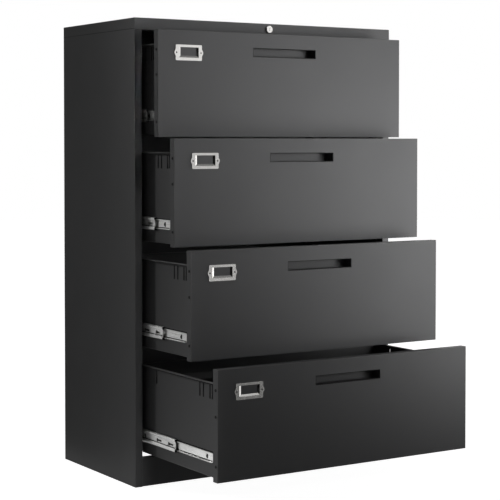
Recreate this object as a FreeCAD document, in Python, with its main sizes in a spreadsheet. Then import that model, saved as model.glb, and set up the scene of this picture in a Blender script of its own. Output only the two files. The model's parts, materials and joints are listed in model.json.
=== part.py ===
"""Four-drawer lateral file cabinet of folded steel sheet, on three-section ball slides.

+X is to the right seen from the front, +Y to the back and +Z up. The origin is on the floor,
under the middle of the carcass. The drawers stand open by different amounts.
"""
import FreeCAD, Part
import Sketcher
import math
import os
import re

PAD = "PartDesign::Pad"
POCKET = "PartDesign::Pocket"
UP = FreeCAD.Vector(0, 0, 1)
TOLERANCE = 1e-6

# Driving sizes in millimetres: name, value and meaning.
SIZES = (
    ("cabinet_width", 900, "outside width of the carcass"),
    ("cabinet_depth", 460, "front plane to back face"),
    ("cabinet_height", 1330, "floor to top"),
    ("sheet", 1.0, "thickness of the folded steel sheet"),
    ("bend", 0.5, "inside radius of a fold"),
    ("edge_bevel", 0.9, "bevel of the cap's and the fronts' outer edges"),
    ("stile_width", 23, "front flange of a side panel"),
    ("stile_return", 14, "depth of the fold behind a stile"),
    ("rear_flange", 10, "rear flange of a side panel"),
    ("skirt_side", 30, "side and back skirts of the cap"),
    ("skirt_front", 34, "front skirt of the cap"),
    ("skirt_lip", 11, "fold at the bottom of the front skirt"),
    ("cap_seam", 1.5, "open seam under the side skirts"),
    ("strip_lap", 28, "lap of the strip that carries the cap on a side panel"),
    ("strip_setback", 16, "strip's distance from the front and the back"),
    ("kick_height", 82.5, "height of the kick plate"),
    ("kick_return", 20, "flanges of the kick plate and the back panel's foot"),
    ("upright_width", 30, "face of a slide upright"),
    ("upright_foot", 10, "welding flange of a slide upright"),
    ("upright_front_setback", 32, "front plane to the front uprights"),
    ("upright_rear_setback", 50, "back face to the rear uprights"),
    ("upright_bottom", 12, "uprights' lower end above the floor"),
    ("upright_top", 70, "uprights' upper end below the top"),
    ("front_gap", 4, "gap round each drawer front"),
    ("front_depth", 23, "depth of a drawer front's returns"),
    ("pull_width", 220, "width of the finger pull"),
    ("pull_height", 26.5, "height of the finger pull"),
    ("pull_depth", 35, "front face to the back of the finger pull"),
    ("pull_drop", 41, "front's top to the top of the finger pull"),
    ("pull_flange", 8, "flange of the pull's cup behind the front"),
    ("label_width", 85, "card frame without its ears"),
    ("label_height", 44, "height of the card frame"),
    ("label_thick", 3.2, "card frame's stand-off from the front"),
    ("label_corner", 3, "corner radius of the card frame"),
    ("label_ear", 9, "radius of an ear"),
    ("label_ear_inset", 5, "frame's end to the ear's centre"),
    ("label_neck", 2.5, "flat that eases the corner between the frame and an ear"),
    ("label_hole_pitch", 79, "distance between the ear holes"),
    ("label_hole", 4.6, "ear hole diameter"),
    ("label_window_width", 53, "window at the card"),
    ("label_window_height", 23.6, "window at the card"),
    ("label_rim", 6.8, "frame's top to the window"),
    ("label_slope", 5.5, "width of the slope beside and below the window"),
    ("label_slope_depth", 1.6, "depth of that slope"),
    ("label_from_side", 97, "front's left edge to the card frame's middle"),
    ("label_drop", 62, "front's top to the card frame's middle"),
    ("box_drop", 38, "front's top to the top of the drawer box"),
    ("box_rise", 7, "front's bottom to the bottom of the drawer box"),
    ("box_foot", 12, "bottom flange of a drawer side"),
    ("box_back_flange", 10, "top flange of the drawer back"),
    ("box_rear_room", 30, "drawer box to the cabinet's back face, closed"),
    ("flange_clear", 0.5, "drawer sides' lip inside the front's returns"),
    ("lip_hem", 5, "down-turned hem of the drawer sides' lip"),
    ("slot_width", 2.6, "rail slots in the drawer sides"),
    ("slot_length", 34, "length of a rail slot"),
    ("slot_drop", 10, "box top to the rail slots"),
    ("slot_step_second", 13, "first to second slot"),
    ("slot_step_third", 34, "second to third slot"),
    ("slot_step_fourth", 19, "third to fourth slot"),
    ("rail_setback", 6, "pull's cup to the front hanging rail"),
    ("rail_spacing", 304, "front to rear hanging rail"),
    ("rail_thick", 1.6, "thickness of a hanging rail"),
    ("rail_height", 18, "height of a hanging rail"),
    ("rail_reach", 3, "tongue's reach outside a drawer side"),
    ("rail_shoulder", 6, "rail's top above its tongues"),
    ("rail_clear", 0.4, "rail's shoulder to the drawer side"),
    ("slide_thick", 12.7, "slide from its back to the drawer side"),
    ("slide_side_gap", 1.3, "stile's edge to the slide's back"),
    ("slide_gap", 2, "drawer front to the slide's end"),
    ("slide_rear_room", 29, "slide's rear end to the cabinet's back face"),
    ("slide_rise", 60, "front's bottom to the slide's centre line"),
    ("travel_short", 2, "slide's length less its full travel, at which the lowest drawer stands"),
    ("slide_sheet", 1.2, "thickness of the slide members"),
    ("slide_clear", 0.3, "running gap between members and cages"),
    ("outer_height", 45.7, "height of an outer member"),
    ("outer_flange", 10.2, "width of an outer member's flanges"),
    ("outer_lip", 2.6, "lips that hold the outer balls"),
    ("outer_race", 4.15, "ball race between outer and middle members"),
    ("inner_race", 3.1, "ball race between middle and inner members"),
    ("middle_flange", 7, "width of a middle member's flanges"),
    ("middle_recess", 2.4, "depth of the channel pressed in a middle member"),
    ("middle_channel", 19, "height of that channel"),
    ("keyhole_round", 10.5, "round end of a keyhole"),
    ("keyhole_slot", 5.6, "narrow part of a keyhole"),
    ("keyhole_length", 24, "round end's centre to the slot's end"),
    ("keyhole_first", 36, "middle member's front to the first keyhole's round end"),
    ("keyhole_step", 66, "first to second keyhole"),
    ("access_hole", 13, "width of the middle member's access hole"),
    ("access_corner", 3.8, "corner cut of the access hole"),
    ("access_first", 174, "middle member's front to its access hole"),
    ("inner_setback", 14, "inner member's front end behind the others"),
    ("inner_slot_width", 9, "mounting slot of an inner member"),
    ("inner_slot_height", 13, "mounting slot of an inner member"),
    ("inner_slot_first", 29, "inner member's end to its mounting slots"),
    ("cage_sheet", 0.6, "thickness of a ball cage"),
    ("cage_end", 12, "cage's end inside the members at full travel"),
    ("ball_window", 4.4, "length of a ball window"),
    ("lock_face", 22, "diameter of the lock's face"),
    ("lock_face_depth", 6.5, "lock's face in front of the skirt"),
    ("lock_face_bevel", 1.2, "bevel of the lock's face"),
    ("lock_barrel", 18, "diameter of the lock's barrel"),
    ("lock_barrel_length", 12, "barrel behind the front plane"),
    ("lock_fit", 0.2, "barrel to the hole in the skirt"),
    ("plug_diameter", 12, "key plug"),
    ("plug_clear", 0.3, "plug to housing"),
    ("plug_drive", 8, "square drive of the cam"),
    ("key_slot_width", 2, "key slot"),
    ("key_slot_height", 8.5, "key slot"),
    ("key_slot_depth", 9, "key slot"),
    ("cam_gap", 0.5, "housing to cam"),
    ("cam_width", 14, "width of the cam"),
    ("cam_corner", 3.5, "corner cut of the cam"),
    ("cam_thick", 2, "thickness of the cam"),
    ("cam_engage", 9, "cam below the top drawer's edge when locked"),
    ("cam_clear", 3, "cam to the slot in the top drawer's front"),
    ("open_first", 87, "how far the top drawer stands open"),
    ("open_second", 177, "second drawer"),
    ("open_third", 267, "third drawer"),
)
ALIASES = {alias for alias, number, meaning in SIZES}

DRAWER_COUNT = 4
DRAWERS = range(1, DRAWER_COUNT + 1)
BALL_WINDOWS = 2

# Places worked out from the driving sizes. The drawers' own frame has its origin in the
# front plane of the closed drawer, at the middle of the front's bottom edge.
HALF = "(cabinet_width / 2)"
FRONT = "(-cabinet_depth / 2)"
REAR = "(cabinet_depth / 2)"
SIDE_TOP = "(cabinet_height - skirt_side - cap_seam)"
FRONT_HALF = f"({HALF} - stile_width - front_gap)"
FRONT_HEIGHT = (f"((cabinet_height - kick_height - skirt_front - {DRAWER_COUNT + 1} * front_gap)"
                f" / {DRAWER_COUNT})")
PULL_TOP = f"({FRONT_HEIGHT} - pull_drop)"
PULL_BOTTOM = f"({PULL_TOP} - pull_height)"
BOX_HALF = f"({HALF} - stile_width - slide_side_gap - slide_thick)"
BOX_TOP = f"({FRONT_HEIGHT} - box_drop)"
BOX_REAR = "(cabinet_depth - box_rear_room)"
LIP_EDGE = f"({FRONT_HALF} - sheet - flange_clear)"
SLOT_TOP = f"({BOX_TOP} - slot_drop)"
SLOT_BOTTOM = f"({SLOT_TOP} - slot_length)"
RAIL_FRONT = "(pull_depth + sheet + rail_setback)"
RAIL_REAR = f"({RAIL_FRONT} + rail_spacing)"
SLIDE_START = "(front_depth + slide_gap)"
SLIDE_LENGTH = f"(cabinet_depth - {SLIDE_START} - slide_rear_room)"
SLIDE_END = f"({SLIDE_START} + {SLIDE_LENGTH})"
SLIDE_TRAVEL = f"({SLIDE_LENGTH} - travel_short)"
OPENING = {1: "open_first", 2: "open_second", 3: "open_third", 4: SLIDE_TRAVEL}
OUTER_HALF = "(outer_height / 2)"
MIDDLE_HALF = f"({OUTER_HALF} - slide_sheet - outer_race)"
INNER_HALF = f"({MIDDLE_HALF} - slide_sheet - inner_race)"
LOCK_DROP = "(skirt_front / 2)"
CAM_LENGTH = f"({LOCK_DROP} + front_gap + cam_engage)"
OUTER_BEND = "(bend + sheet)"

doc = FreeCAD.newDocument("FileCabinet")
sizes = doc.addObject("Spreadsheet::Sheet", "Sizes")
for row, (alias, number, meaning) in enumerate(SIZES, start=1):
    sizes.set(f"A{row}", meaning)
    sizes.set(f"B{row}", str(number))
    sizes.setAlias(f"B{row}", alias)
doc.recompute()

nodes = []


# Sketches and features

def expression(formula):
    """A formula in the sheet's names, as an expression of the document."""
    return re.sub(r"[a-z_]+", lambda word: f"Sizes.{word[0]}" if word[0] in ALIASES else word[0], formula)


def value(formula):
    return float(sizes.evalExpression(expression(formula)))


def spot(place):
    return FreeCAD.Vector(value(place[0]), value(place[1]), 0)


def bind(sketch, constraint, formula):
    index = sketch.addConstraint(constraint)
    sketch.renameConstraint(index, f"size_{index}")
    sketch.setExpression(f"Constraints.size_{index}", expression(formula))


def pin(sketch, shape, end, place):
    """Holds a point of the sketch at a pair of formulas."""
    where = spot(place)
    bind(sketch, Sketcher.Constraint("DistanceX", -1, 1, shape, end, where.x), place[0])
    bind(sketch, Sketcher.Constraint("DistanceY", -1, 1, shape, end, where.y), place[1])


def corner_ends(corner, before, after):
    """The corner itself, or the two ends of the arc that rounds it."""
    if len(corner) == 2:
        return [corner]
    x, y, radius = corner
    ends = []
    for neighbour in (before, after):
        way = (spot(neighbour) - spot(corner)).normalize()
        ends.append((f"{x} + ({round(way.x)}) * ({radius})", f"{y} + ({round(way.y)}) * ({radius})"))
    return ends


def round_corner(sketch, corner, ends, incoming, outgoing):
    """Joins two square runs by a tangent arc."""
    entry, leave = spot(ends[0]), spot(ends[1])
    centre = entry + leave - spot(corner)
    turns_left = (spot(corner) - entry).cross(leave - spot(corner)).z > 0
    start, stop = (entry, leave) if turns_left else (leave, entry)
    angles = [math.atan2(point.y - centre.y, point.x - centre.x) for point in (start, stop)]
    arc = sketch.addGeometry(Part.ArcOfCircle(Part.Circle(centre, UP, (entry - centre).Length), *angles))
    entry_end, leave_end = (1, 2) if turns_left else (2, 1)
    sketch.addConstraint(Sketcher.Constraint("Tangent", incoming, 2, arc, entry_end))
    sketch.addConstraint(Sketcher.Constraint("Coincident", arc, leave_end, outgoing, 1))


def loop_ends(corners):
    count = len(corners)
    return [corner_ends(corners[i], corners[i - 1], corners[(i + 1) % count]) for i in range(count)]


def cut_corners(corners):
    """The same loop with a straight cut in place of each rounding."""
    return [end for ends in loop_ends(corners) for end in ends]


def outline(sketch, corners):
    """A closed loop through pairs of formulas; a third formula rounds a square corner."""
    count = len(corners)
    ends = loop_ends(corners)
    lines = []
    for i in range(count):
        start, stop = ends[i][-1], ends[(i + 1) % count][0]
        lines.append(sketch.addGeometry(Part.LineSegment(spot(start), spot(stop))))
        pin(sketch, lines[i], 1, start)
    for i in range(count):
        incoming, outgoing = lines[i - 1], lines[i]
        if len(ends[i]) == 1:
            sketch.addConstraint(Sketcher.Constraint("Coincident", incoming, 2, outgoing, 1))
        else:
            pin(sketch, incoming, 2, ends[i][0])
            round_corner(sketch, corners[i], ends[i], incoming, outgoing)


def rectangle(sketch, low, high, radius=None):
    corners = [(low[0], low[1]), (high[0], low[1]), (high[0], high[1]), (low[0], high[1])]
    outline(sketch, [corner + (radius,) if radius else corner for corner in corners])


def circle(sketch, place, diameter):
    radius = f"{diameter} / 2"
    ring = sketch.addGeometry(Part.Circle(spot(place), UP, value(radius)))
    pin(sketch, ring, 3, place)
    bind(sketch, Sketcher.Constraint("Radius", ring, value(radius)), radius)


def new_body(label):
    body = doc.addObject("PartDesign::Body", "Body")
    body.Label = label
    return body


def extrude(body, kind, axis, start, end, draw):
    """Pads or pockets what draw puts in a sketch, between two stations along an axis.

    A sketch across X is drawn in Y and Z, across Y in X and Z, and across Z in X and Y.
    The XZ plane faces -Y, so an extrusion along Y starts at its far end.
    """
    role = {"X": "YZ_Plane", "Y": "XZ_Plane", "Z": "XY_Plane"}[axis]
    sketch = body.newObject("Sketcher::SketchObject", "Profile")
    plane = next(feature for feature in body.Origin.OriginFeatures if feature.Role == role)
    sketch.AttachmentSupport = [(plane, "")]
    sketch.MapMode = "FlatFace"
    station = f"-1 * ({end})" if axis == "Y" else start
    sketch.setExpression("AttachmentOffset.Base.z", expression(station))
    draw(sketch)
    feature = body.newObject(kind, "Extrusion")
    feature.Profile = sketch
    feature.Reversed = kind == POCKET
    feature.setExpression("Length", expression(f"({end}) - ({start})"))


def chamfer(body, formula, chosen, depth=None):
    """Chamfers the edges of a body whose boxes pass a test, to a depth of its own where one is given."""
    doc.recompute()
    base = body.Tip
    names = [f"Edge{i}" for i, edge in enumerate(base.Shape.Edges, start=1) if chosen(edge.BoundBox)]
    feature = body.newObject("PartDesign::Chamfer", "Chamfer")
    feature.Base = (base, names)
    feature.setExpression("Size", expression(formula))
    if depth:
        feature.ChamferType = "Two distances"
        feature.setExpression("Size2", expression(depth))


def keep(piece, label=None):
    """Lists a piece as a node of the assembly."""
    if label:
        piece.Label = label
    nodes.append(piece)
    return piece


def twin(source):
    """The right-hand twin of a left-hand piece."""
    mirrored = doc.addObject("Part::Mirroring", "Twin")
    mirrored.Source = source
    mirrored.Normal = FreeCAD.Vector(1, 0, 0)
    return mirrored


def group(members):
    compound = doc.addObject("Part::Compound", "Group")
    compound.Links = members
    return compound


def place(piece, y, z):
    piece.setExpression("Placement.Base.y", expression(y))
    piece.setExpression("Placement.Base.z", expression(z))


def level(drawer):
    """Height of a drawer front's bottom edge."""
    below = DRAWER_COUNT - drawer
    return f"(kick_height + front_gap + {below} * ({FRONT_HEIGHT} + front_gap))"


def place_with_drawer(piece, drawer, share):
    """Stands a piece where it is when its drawer is open, with its share of the travel."""
    place(piece, f"{FRONT} - {share} * {OPENING[drawer]}", level(drawer))


# Carcass

def side_panel():
    """Folded side: front stile with its return, web and rear flange, notched under the cap's front skirt."""
    outside, inside = f"-{HALF}", f"-{HALF} + sheet"
    stile_edge, back = f"-{HALF} + stile_width", f"{REAR} - sheet"
    body = new_body("side_sheet")
    extrude(body, PAD, "Z", "0", SIDE_TOP, lambda sketch: outline(sketch, [
        (outside, FRONT, OUTER_BEND),
        (stile_edge, FRONT, OUTER_BEND),
        (stile_edge, f"{FRONT} + stile_return"),
        (f"{stile_edge} - sheet", f"{FRONT} + stile_return"),
        (f"{stile_edge} - sheet", f"{FRONT} + sheet", "bend"),
        (inside, f"{FRONT} + sheet", "bend"),
        (inside, f"{back} - sheet", "bend"),
        (f"{outside} + rear_flange", f"{back} - sheet"),
        (f"{outside} + rear_flange", back),
        (outside, back, OUTER_BEND),
    ]))
    outer_clear, notch_back = f"{outside} - sheet", f"{FRONT} + stile_return + sheet"
    extrude(body, POCKET, "Z", "cabinet_height - skirt_front - cap_seam", f"{SIDE_TOP} + sheet",
            lambda sketch: outline(sketch, [
                (outer_clear, f"{FRONT} - sheet"),
                (f"{stile_edge} + sheet", f"{FRONT} - sheet"),
                (f"{stile_edge} + sheet", notch_back),
                (inside, notch_back),
                (inside, f"{FRONT} + {OUTER_BEND} + bend"),
                (outer_clear, f"{FRONT} + {OUTER_BEND} + bend"),
            ]))
    return body


def cap_strip():
    """Strip welded inside a side panel, which carries the cap."""
    inside = f"-{HALF} + sheet"
    body = new_body("cap_strip")
    extrude(body, PAD, "Y", f"{FRONT} + strip_setback", f"{REAR} - strip_setback",
            lambda sketch: rectangle(sketch, (inside, f"{SIDE_TOP} - strip_lap"),
                                     (f"{inside} + sheet", "cabinet_height - sheet")))
    return body


def back_panel():
    body = new_body("back_panel")
    extrude(body, PAD, "Y", f"{REAR} - sheet", REAR,
            lambda sketch: rectangle(sketch, (f"-{HALF}", "0"), (HALF, "cabinet_height - skirt_side")))
    flange_half = f"({HALF} - rear_flange - sheet)"
    extrude(body, PAD, "Y", f"{REAR} - kick_return", f"{REAR} - sheet",
            lambda sketch: rectangle(sketch, (f"-{flange_half}", "0"), (flange_half, "sheet")))
    return body


CAP_UNDERSIDE = "(cabinet_height - sheet)"


def cap_sheet():
    """Flat top of the cap, bevelled all round."""
    top = value("cabinet_height")
    body = new_body("cap_sheet")
    extrude(body, PAD, "Z", CAP_UNDERSIDE, "cabinet_height",
            lambda sketch: rectangle(sketch, (f"-{HALF}", FRONT), (HALF, REAR)))
    chamfer(body, "edge_bevel", lambda box: box.ZMin > top - TOLERANCE)
    return body


def cap_front_skirt():
    """Deeper front skirt of the cap, which ends in a fold between the stiles and takes the lock."""
    bottom, lip_edge = "cabinet_height - skirt_front", f"{FRONT} + skirt_lip"
    body = new_body("cap_front_skirt")
    extrude(body, PAD, "X", f"-{HALF}", HALF, lambda sketch: outline(sketch, [
        (FRONT, bottom, OUTER_BEND),
        (lip_edge, bottom),
        (lip_edge, f"{bottom} + sheet"),
        (f"{FRONT} + sheet", f"{bottom} + sheet", "bend"),
        (f"{FRONT} + sheet", CAP_UNDERSIDE),
        (FRONT, CAP_UNDERSIDE),
    ]))
    for side in ("-1", "1"):
        edges = [f"{side} * {HALF}", f"{side} * ({HALF} - stile_width)"]
        low, high = edges if side == "-1" else edges[::-1]
        extrude(body, POCKET, "Z", f"{bottom} - sheet", "cabinet_height - skirt_side",
                lambda sketch: rectangle(sketch, (low, f"{FRONT} + sheet"), (high, f"{lip_edge} + sheet")))
    extrude(body, POCKET, "Y", f"{FRONT} - sheet", f"{FRONT} + 2 * sheet",
            lambda sketch: circle(sketch, ("0", f"cabinet_height - {LOCK_DROP}"),
                                  "(lock_barrel + 2 * lock_fit)"))
    return body


def cap_back_skirt():
    body = new_body("cap_back_skirt")
    extrude(body, PAD, "Y", f"{REAR} - sheet", REAR,
            lambda sketch: rectangle(sketch, (f"-{HALF}", "cabinet_height - skirt_side"),
                                     (HALF, CAP_UNDERSIDE)))
    return body


def cap_side_skirt():
    body = new_body("cap_side_skirt")
    extrude(body, PAD, "Y", f"{FRONT} + sheet", f"{REAR} - sheet",
            lambda sketch: rectangle(sketch, (f"-{HALF}", "cabinet_height - skirt_side"),
                                     (f"-{HALF} + sheet", CAP_UNDERSIDE)))
    return body


def kick_plate():
    """Channel between the stiles, open to the back, with its face behind their rounded edges."""
    face, back = f"{FRONT} + {OUTER_BEND}", f"{FRONT} + kick_return"
    body = new_body("kick_plate")
    extrude(body, PAD, "X", f"-({HALF} - stile_width)", f"{HALF} - stile_width",
            lambda sketch: outline(sketch, cut_corners([
                (face, "0", OUTER_BEND),
                (back, "0"),
                (back, "sheet"),
                (f"{face} + sheet", "sheet", "bend"),
                (f"{face} + sheet", "kick_height - sheet", "bend"),
                (back, "kick_height - sheet"),
                (back, "kick_height"),
                (face, "kick_height", OUTER_BEND),
            ])))
    return body


def slide_upright(name, near):
    """Hat-section upright on a side panel, with its face where the slides' backs are."""
    wall, foot = f"-{HALF} + sheet", f"-{HALF} + 2 * sheet"
    face = f"-{HALF} + stile_width + slide_side_gap"
    far = f"{near} + upright_width"
    body = new_body(name)
    profile = cut_corners([
        (wall, f"{near} - upright_foot"),
        (foot, f"{near} - upright_foot"),
        (foot, near, "bend"),
        (face, near, OUTER_BEND),
        (face, far, OUTER_BEND),
        (foot, far, "bend"),
        (foot, f"{far} + upright_foot"),
        (wall, f"{far} + upright_foot"),
        (wall, f"{far} - sheet"),
        (f"{face} - sheet", f"{far} - sheet", "bend"),
        (f"{face} - sheet", f"{near} + sheet", "bend"),
        (wall, f"{near} + sheet"),
    ])
    extrude(body, PAD, "Z", "upright_bottom", "cabinet_height - upright_top",
            lambda sketch: outline(sketch, profile))
    return body


# Lock

def lock_housing():
    body = new_body("lock_housing")
    extrude(body, PAD, "Y", "-lock_face_depth", "0", lambda sketch: circle(sketch, ("0", "0"), "lock_face"))
    nose = value("-lock_face_depth")
    chamfer(body, "lock_face_bevel", lambda box: box.YMax < nose + TOLERANCE)
    extrude(body, PAD, "Y", "0", "lock_barrel_length",
            lambda sketch: circle(sketch, ("0", "0"), "lock_barrel"))
    extrude(body, POCKET, "Y", "-2 * lock_face_depth", "lock_barrel_length + sheet",
            lambda sketch: circle(sketch, ("0", "0"), "(plug_diameter + 2 * plug_clear)"))
    return body


def lock_plug():
    """Round plug with a key slot in front and a square drive behind."""
    drive = "plug_drive / 2"
    body = new_body("lock_plug")
    extrude(body, PAD, "Y", "-lock_face_depth", "lock_barrel_length + cam_gap",
            lambda sketch: circle(sketch, ("0", "0"), "plug_diameter"))
    extrude(body, PAD, "Y", "lock_barrel_length + cam_gap", "lock_barrel_length + cam_gap + cam_thick",
            lambda sketch: rectangle(sketch, (f"-{drive}", f"-{drive}"), (drive, drive)))
    slot_x, slot_z = "key_slot_width / 2", "key_slot_height / 2"
    extrude(body, POCKET, "Y", "-2 * lock_face_depth", "key_slot_depth - lock_face_depth",
            lambda sketch: rectangle(sketch, (f"-{slot_x}", f"-{slot_z}"), (slot_x, slot_z)))
    return body


def lock_cam():
    """Flat cam on the square drive, level when unlocked."""
    drive, half = "plug_drive / 2", "cam_width / 2"
    start = "lock_barrel_length + cam_gap"
    body = new_body("lock_cam")
    profile = cut_corners([
        (f"-{half}", f"-{half}", "cam_corner"),
        (CAM_LENGTH, f"-{half}", "cam_corner"),
        (CAM_LENGTH, half, "cam_corner"),
        (f"-{half}", half, "cam_corner"),
    ])
    extrude(body, PAD, "Y", start, f"{start} + cam_thick", lambda sketch: outline(sketch, profile))
    extrude(body, POCKET, "Y", f"{start} - sheet", f"{start} + cam_thick + sheet",
            lambda sketch: rectangle(sketch, (f"-{drive}", f"-{drive}"), (drive, drive)))
    return body


# Drawers

def drawer_front(drawer):
    """Pan folded back on four sides, with the pull's cut-out; the top one has the cam's slot."""
    body = new_body(f"drawer_front_{drawer}")
    extrude(body, PAD, "Y", "0", "front_depth",
            lambda sketch: rectangle(sketch, (f"-{FRONT_HALF}", "0"), (FRONT_HALF, FRONT_HEIGHT)))
    chamfer(body, "edge_bevel", lambda box: box.YMax < TOLERANCE)
    extrude(body, POCKET, "Y", "sheet", "front_depth",
            lambda sketch: rectangle(sketch, (f"-{FRONT_HALF} + sheet", "sheet"),
                                     (f"{FRONT_HALF} - sheet", f"{FRONT_HEIGHT} - sheet")))
    extrude(body, POCKET, "Y", "-sheet", "2 * sheet",
            lambda sketch: rectangle(sketch, ("-pull_width / 2", PULL_BOTTOM), ("pull_width / 2", PULL_TOP)))
    if drawer == DRAWERS[0]:
        half = "(cam_width / 2 + cam_clear)"
        near = "lock_barrel_length + cam_gap"
        extrude(body, POCKET, "Z", f"{FRONT_HEIGHT} - 2 * sheet", f"{FRONT_HEIGHT} + sheet",
                lambda sketch: rectangle(sketch, (f"-{half}", f"{near} - cam_clear"),
                                         (half, f"{near} + cam_thick + cam_clear")))
    return body


def handle_cup(drawer):
    """Tray of the finger pull, flanged against the back of the front sheet."""
    half, back = "pull_width / 2", "pull_depth + sheet"
    body = new_body(f"handle_cup_{drawer}")
    extrude(body, PAD, "Y", "sheet", back,
            lambda sketch: rectangle(sketch, (f"-{half} - sheet", f"{PULL_BOTTOM} - sheet"),
                                     (f"{half} + sheet", f"{PULL_TOP} + sheet")))
    extrude(body, PAD, "Y", "sheet", "2 * sheet",
            lambda sketch: rectangle(sketch, (f"-{half} - pull_flange", f"{PULL_BOTTOM} - pull_flange"),
                                     (f"{half} + pull_flange", f"{PULL_TOP} + pull_flange")))
    extrude(body, POCKET, "Y", "0", "pull_depth",
            lambda sketch: rectangle(sketch, (f"-{half}", PULL_BOTTOM), (half, PULL_TOP)))
    return body


def label_holder(drawer):
    """Card frame with an ear at each end and a window that slopes in at its sides and bottom."""
    middle_x, middle_z = f"(label_from_side - {FRONT_HALF})", f"({FRONT_HEIGHT} - label_drop)"
    half_x, half_z = "label_width / 2", "label_height / 2"
    body = new_body(f"label_holder_{drawer}")
    extrude(body, PAD, "Y", "-label_thick", "0",
            lambda sketch: rectangle(sketch, (f"{middle_x} - {half_x}", f"{middle_z} - {half_z}"),
                                     (f"{middle_x} + {half_x}", f"{middle_z} + {half_z}"), "label_corner"))
    for sign in "-+":
        ear = (f"{middle_x} {sign} ({half_x} - label_ear_inset)", middle_z)
        extrude(body, PAD, "Y", "-label_thick", "0", lambda sketch: circle(sketch, ear, "(2 * label_ear)"))
    centre_x, centre_z, ear_reach = value(middle_x), value(middle_z), value("label_ear")
    end = value(half_x)
    chamfer(body, "label_neck", lambda box: box.XLength < TOLERANCE
            and abs(abs(box.XMin - centre_x) - end) < TOLERANCE
            and max(abs(box.ZMin - centre_z), abs(box.ZMax - centre_z)) < ear_reach)
    left, right = f"{middle_x} - label_window_width / 2", f"{middle_x} + label_window_width / 2"
    top = f"{middle_z} + {half_z} - label_rim"
    bottom = f"{top} - label_window_height"
    extrude(body, POCKET, "Y", "-2 * label_thick", "label_thick",
            lambda sketch: rectangle(sketch, (left, bottom), (right, top)))
    face, window_top, reach = value("-label_thick"), value(top), value("label_window_width / 2")
    chamfer(body, "label_slope", lambda box: box.YMax < face + TOLERANCE
            and box.ZMin < window_top - TOLERANCE
            and max(abs(box.XMin - centre_x), abs(box.XMax - centre_x)) < reach + TOLERANCE,
            "label_slope_depth")
    for sign in "-+":
        hole = (f"{middle_x} {sign} label_hole_pitch / 2", middle_z)
        extrude(body, POCKET, "Y", "-2 * label_thick", "label_thick",
                lambda sketch: circle(sketch, hole, "label_hole"))
    return body


def drawer_side(drawer):
    """Side with a hemmed outward lip on top, a foot under the bottom, a front flange and rail slots."""
    outside, inside = f"-{BOX_HALF}", f"-{BOX_HALF} + sheet"
    foot = f"{outside} + box_foot"
    stations = [RAIL_FRONT]
    for step in ("slot_step_second", "slot_step_third", "slot_step_fourth"):
        stations.append(f"{stations[-1]} + {step}")
    stations.append(RAIL_REAR)
    body = new_body(f"drawer_side_left_{drawer}")
    profile = cut_corners([
        (f"-{LIP_EDGE}", BOX_TOP, OUTER_BEND),
        (f"-{LIP_EDGE}", f"{BOX_TOP} - lip_hem"),
        (f"-{LIP_EDGE} + sheet", f"{BOX_TOP} - lip_hem"),
        (f"-{LIP_EDGE} + sheet", f"{BOX_TOP} - sheet", "bend"),
        (outside, f"{BOX_TOP} - sheet", "bend"),
        (outside, "box_rise", OUTER_BEND),
        (foot, "box_rise"),
        (foot, "box_rise + sheet"),
        (inside, "box_rise + sheet", "bend"),
        (inside, BOX_TOP, OUTER_BEND),
    ])
    extrude(body, PAD, "Y", "sheet", BOX_REAR, lambda sketch: outline(sketch, profile))
    extrude(body, PAD, "Y", "sheet", "2 * sheet",
            lambda sketch: rectangle(sketch, (f"-{LIP_EDGE}", f"box_rise + {OUTER_BEND}"), (inside, BOX_TOP)))
    for station in stations:
        extrude(body, POCKET, "X", f"{outside} - sheet", f"{inside} + sheet",
                lambda sketch: rectangle(sketch, (f"{station} - slot_width / 2", SLOT_BOTTOM),
                                         (f"{station} + slot_width / 2", SLOT_TOP)))
    return body


def drawer_back(drawer):
    """Back between the sides, on the bottom, with a top flange to the rear."""
    half = f"({BOX_HALF} - sheet)"
    body = new_body(f"drawer_back_{drawer}")
    profile = cut_corners([
        (f"{BOX_REAR} - sheet", "box_rise + 2 * sheet"),
        (BOX_REAR, "box_rise + 2 * sheet"),
        (BOX_REAR, f"{BOX_TOP} - sheet", "bend"),
        (f"{BOX_REAR} + box_back_flange", f"{BOX_TOP} - sheet"),
        (f"{BOX_REAR} + box_back_flange", BOX_TOP),
        (f"{BOX_REAR} - sheet", BOX_TOP, OUTER_BEND),
    ])
    extrude(body, PAD, "X", f"-{half}", half, lambda sketch: outline(sketch, profile))
    return body


def drawer_bottom(drawer):
    """Flat bottom on the sides' feet, clear of their folds."""
    half = f"({BOX_HALF} - sheet - bend)"
    body = new_body(f"drawer_bottom_{drawer}")
    extrude(body, PAD, "Z", "box_rise + sheet", "box_rise + 2 * sheet",
            lambda sketch: rectangle(sketch, (f"-{half}", "sheet"), (half, BOX_REAR)))
    return body


def hanging_rail(drawer, station, name):
    """Flat rail across the drawer, whose tongues rest in a slot of each side up to its shoulders."""
    reach, shoulder = f"({BOX_HALF} + rail_reach)", f"({BOX_HALF} - sheet - rail_clear)"
    top = f"{SLOT_BOTTOM} + rail_height"
    tongue = f"{top} - rail_shoulder"
    body = new_body(f"{name}_{drawer}")
    extrude(body, PAD, "Y", f"{station} - rail_thick / 2", f"{station} + rail_thick / 2",
            lambda sketch: outline(sketch, [
                (f"-{reach}", SLOT_BOTTOM),
                (reach, SLOT_BOTTOM),
                (reach, tongue),
                (shoulder, tongue),
                (shoulder, top),
                (f"-{shoulder}", top),
                (f"-{shoulder}", tongue),
                (f"-{reach}", tongue),
            ]))
    return body


# Slides, drawn for the left side: across is measured from the slide's back towards the drawer

def across(distance):
    return f"-({BOX_HALF} + slide_thick) + {distance}"


def above(distance):
    return f"slide_rise + {distance}"


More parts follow.
